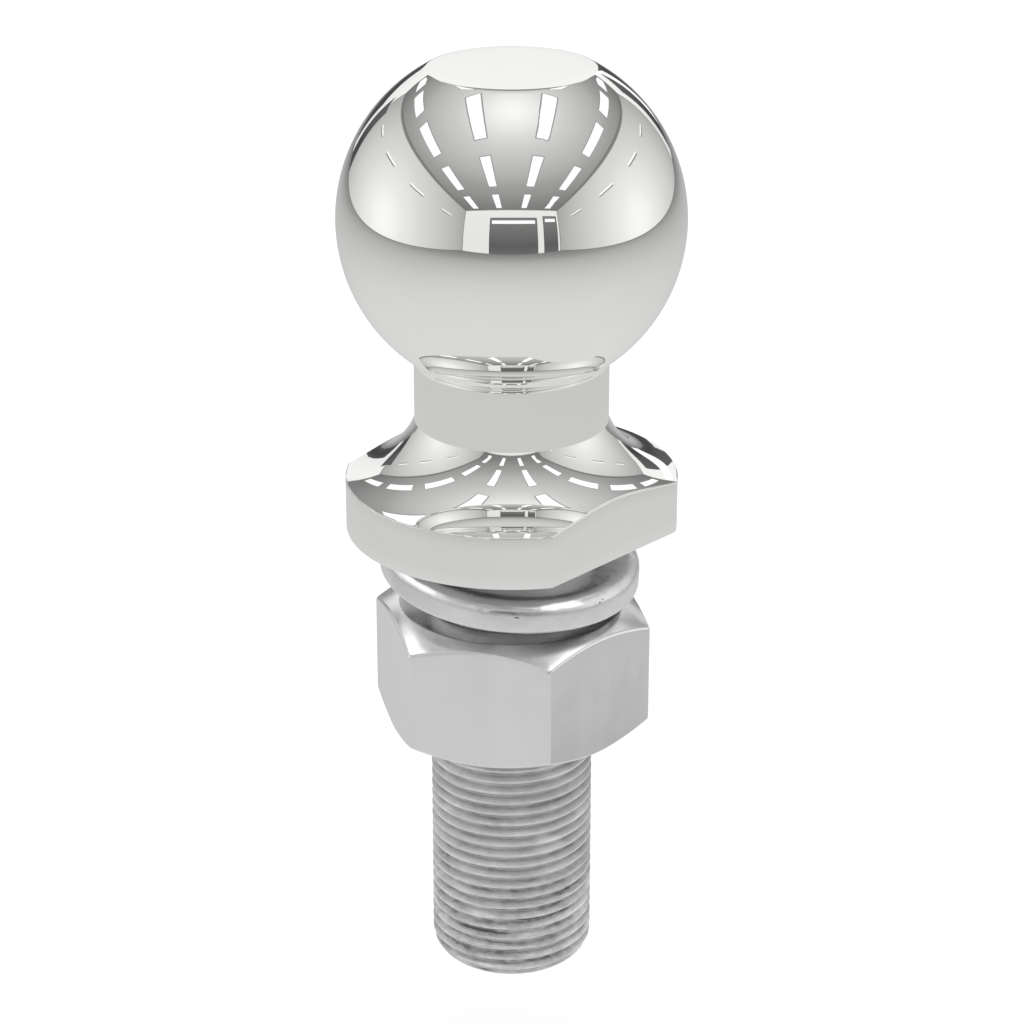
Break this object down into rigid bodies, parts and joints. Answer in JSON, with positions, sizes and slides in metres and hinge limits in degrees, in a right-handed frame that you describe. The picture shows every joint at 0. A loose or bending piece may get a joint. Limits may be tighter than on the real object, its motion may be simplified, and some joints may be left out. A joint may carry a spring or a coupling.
{
  "type": "trailer hitch ball",
  "caption": "Chromed ball stud with a flat-topped ball, neck, collar with wrench flats and threaded shank, a split lock washer and a hex nut.",
  "frame": {"origin": "centre of the collar's underside, where the stud seats on a drawbar", "axes": "+Z along the stud's axis, up through the ball; the wrench flats face 137.3 and 317.3 degrees from +X; the camera side is -Y"},
  "size_m": [0.0508, 0.0508, 0.1423],
  "materials": {
    "bright_chrome": "mirror bright on the ball, neck and collar, duller on the threads",
    "plated_spring_steel": "bright zinc plate with rounded edges",
    "plated_steel": "satin zinc plate"
  },
  "bodies": {
    "stud": {"ball_stud": "bright_chrome"},
    "washer": {"lock_washer": "plated_spring_steel"},
    "nut": {"hex_nut": "plated_steel"}
  },
  "joints": [
    {"name": "washer_slide", "type": "slide", "parent": "stud", "child": "washer", "axis": [0, 0, -1], "range_m": [0, 0.062]},
    {"name": "nut_turn", "type": "hinge", "parent": "washer", "child": "nut", "pos_m": [0, 0, -0.0222], "axis": [0, 0, -1], "range_deg": [0, 12240]}
  ],
  "couplings": [
    {"joint": "washer_slide", "follows": "nut_turn", "m_per_rad": 0.00028875}
  ]
}
